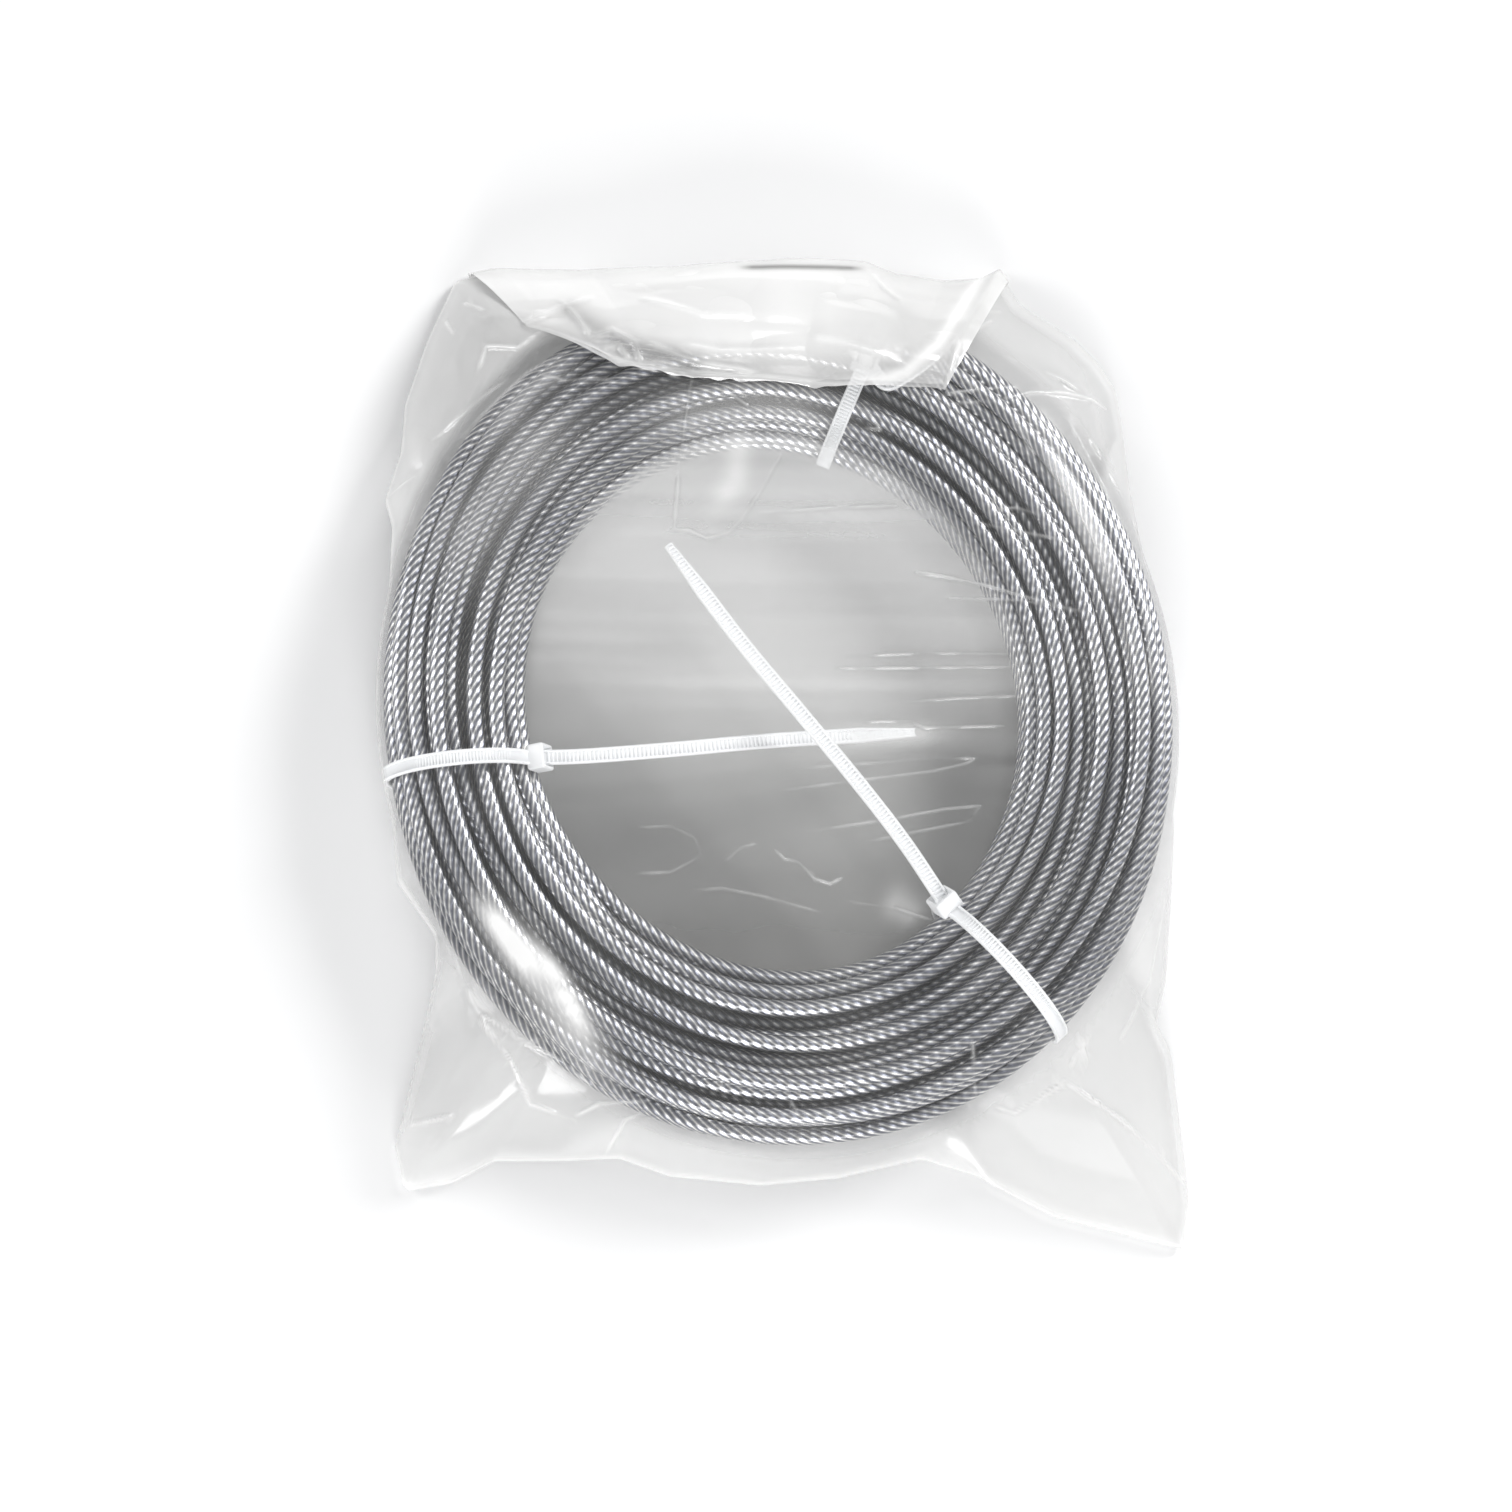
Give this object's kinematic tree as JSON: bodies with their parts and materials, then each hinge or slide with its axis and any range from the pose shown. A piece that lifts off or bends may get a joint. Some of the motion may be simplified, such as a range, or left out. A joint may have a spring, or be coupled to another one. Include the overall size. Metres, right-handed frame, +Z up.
{
  "type": "bagged coil of coated wire rope",
  "caption": "Coil of clear coated steel wire rope, held by cable ties, lying flat in a clear plastic bag whose mouth is folded over the top.",
  "frame": {"origin": "on the floor, under the middle of the bag's bounding box", "axes": "+Z up, out of the lying coil; +Y towards the bag's folded mouth; +X to the right as the picture shows it"},
  "size_m": [0.198, 0.2446, 0.0386],
  "materials": {
    "coated_wire_rope": "bright steel strands under a clear plastic coat",
    "natural_nylon": "milky white, slightly see-through",
    "clear_polythene": "clear film with a slight haze"
  },
  "bodies": {
    "root": {"wire_rope_coil": "coated_wire_rope", "cable_tie_left": "natural_nylon", "cable_tie_lower_right": "natural_nylon", "cable_tie_top": "natural_nylon", "poly_bag": "clear_polythene"}
  },
  "joints": []
}
